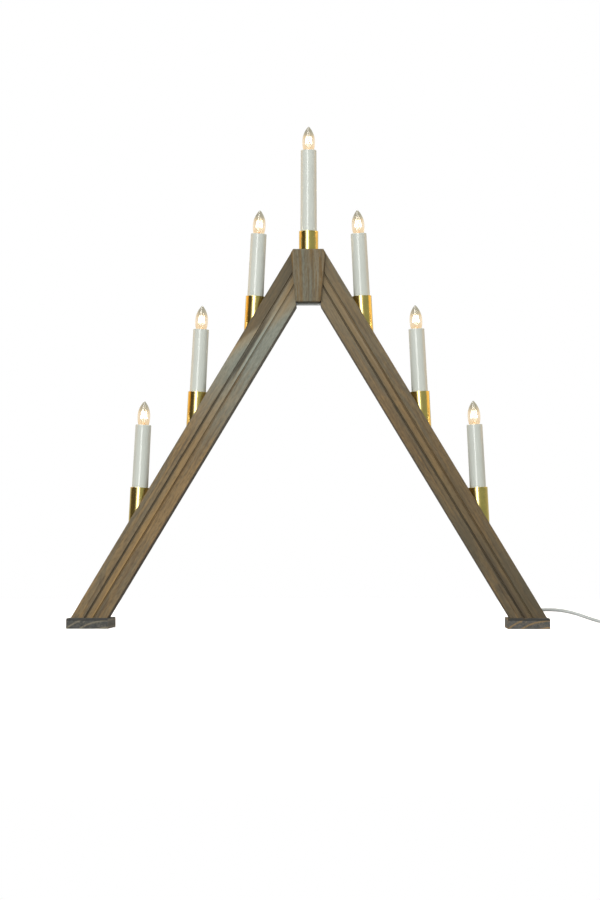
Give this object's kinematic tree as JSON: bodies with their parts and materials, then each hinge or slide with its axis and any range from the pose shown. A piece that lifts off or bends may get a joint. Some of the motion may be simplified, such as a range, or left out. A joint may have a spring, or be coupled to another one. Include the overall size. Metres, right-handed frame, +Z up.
{
  "type": "candle arch",
  "caption": "Inverted-V wooden candle arch on foot plates, with brass sleeves in its legs and top block, white electric candle tubes, clear screw bulbs and a mains lead.",
  "frame": {"origin": "under the middle of the arch, on the surface that it stands on", "axes": "+X to the right seen from the front, +Y to the back, +Z up"},
  "size_m": [0.6596, 0.1045, 0.5357],
  "materials": {
    "stained_wood": "pine, grey-brown stain, satin",
    "foot_wood": "pine, dark grey stain, satin",
    "dowel_wood": "bare beech",
    "brass": "polished",
    "candle_white": "glossy off-white",
    "holder_plastic": "moulded white",
    "cap_metal": "nickel plated",
    "clear_glass": "clear blown glass",
    "filament": "glowing tungsten",
    "screw_steel": "zinc plated",
    "lead_insulation": "white insulation",
    "cord_white": "white flexible sheath",
    "tie_plastic": "black band",
    "plug_white": "moulded white",
    "pin_metal": "nickel plated"
  },
  "bodies": {
    "arch": {"left_leg": "stained_wood", "right_leg": "stained_wood", "key_block": "stained_wood", "left_foot": "foot_wood", "right_foot": "foot_wood", "apex_dowels": "dowel_wood", "foot_screws": "screw_steel", "holder_shells": "brass", "leg_leads": "lead_insulation", "seat_leads": "lead_insulation", "cord_grommet": "cord_white", "mains_cord": "cord_white", "cord_coil": "cord_white", "coil_tie": "tie_plastic", "plug_body": "plug_white", "plug_pins": "pin_metal", "sleeve_left_low": "brass", "candle_left_low": "candle_white", "holder_left_low": "holder_plastic", "sleeve_left_middle": "brass", "candle_left_middle": "candle_white", "holder_left_middle": "holder_plastic", "sleeve_left_high": "brass", "candle_left_high": "candle_white", "holder_left_high": "holder_plastic", "sleeve_right_low": "brass", "candle_right_low": "candle_white", "holder_right_low": "holder_plastic", "sleeve_right_middle": "brass", "candle_right_middle": "candle_white", "holder_right_middle": "holder_plastic", "sleeve_right_high": "brass", "candle_right_high": "candle_white", "holder_right_high": "holder_plastic", "sleeve_centre": "brass", "candle_centre": "candle_white", "holder_centre": "holder_plastic"},
    "bulb_left_low": {"bulb_glass_left_low": "clear_glass", "bulb_cap_left_low": "cap_metal", "filament_left_low": "filament"},
    "bulb_left_middle": {"bulb_glass_left_middle": "clear_glass", "bulb_cap_left_middle": "cap_metal", "filament_left_middle": "filament"},
    "bulb_left_high": {"bulb_glass_left_high": "clear_glass", "bulb_cap_left_high": "cap_metal", "filament_left_high": "filament"},
    "bulb_right_low": {"bulb_glass_right_low": "clear_glass", "bulb_cap_right_low": "cap_metal", "filament_right_low": "filament"},
    "bulb_right_middle": {"bulb_glass_right_middle": "clear_glass", "bulb_cap_right_middle": "cap_metal", "filament_right_middle": "filament"},
    "bulb_right_high": {"bulb_glass_right_high": "clear_glass", "bulb_cap_right_high": "cap_metal", "filament_right_high": "filament"},
    "bulb_centre": {"bulb_glass_centre": "clear_glass", "bulb_cap_centre": "cap_metal", "filament_centre": "filament"}
  },
  "joints": [
    {"name": "bulb_left_low_turn", "type": "hinge", "parent": "arch", "child": "bulb_left_low", "pos_m": [-0.18009, 0, 0.14954], "axis": [0.0523, 0, 0.9986], "range_deg": [0, 1080]},
    {"name": "bulb_left_middle_turn", "type": "hinge", "parent": "arch", "child": "bulb_left_middle", "pos_m": [-0.11846, 0, 0.25171], "axis": [0.0523, 0, 0.9986], "range_deg": [0, 1080]},
    {"name": "bulb_left_high_turn", "type": "hinge", "parent": "arch", "child": "bulb_left_high", "pos_m": [-0.05683, 0, 0.35387], "axis": [0.0523, 0, 0.9986], "range_deg": [0, 1080]},
    {"name": "bulb_right_low_turn", "type": "hinge", "parent": "arch", "child": "bulb_right_low", "pos_m": [0.18009, 0, 0.14954], "axis": [-0.0523, 0, 0.9986], "range_deg": [0, 1080]},
    {"name": "bulb_right_middle_turn", "type": "hinge", "parent": "arch", "child": "bulb_right_middle", "pos_m": [0.11846, 0, 0.25171], "axis": [-0.0523, 0, 0.9986], "range_deg": [0, 1080]},
    {"name": "bulb_right_high_turn", "type": "hinge", "parent": "arch", "child": "bulb_right_high", "pos_m": [0.05683, 0, 0.35387], "axis": [-0.0523, 0, 0.9986], "range_deg": [0, 1080]},
    {"name": "bulb_centre_turn", "type": "hinge", "parent": "arch", "child": "bulb_centre", "pos_m": [0, 0, 0.42346], "axis": [0, 0, 1], "range_deg": [0, 1080]}
  ]
}
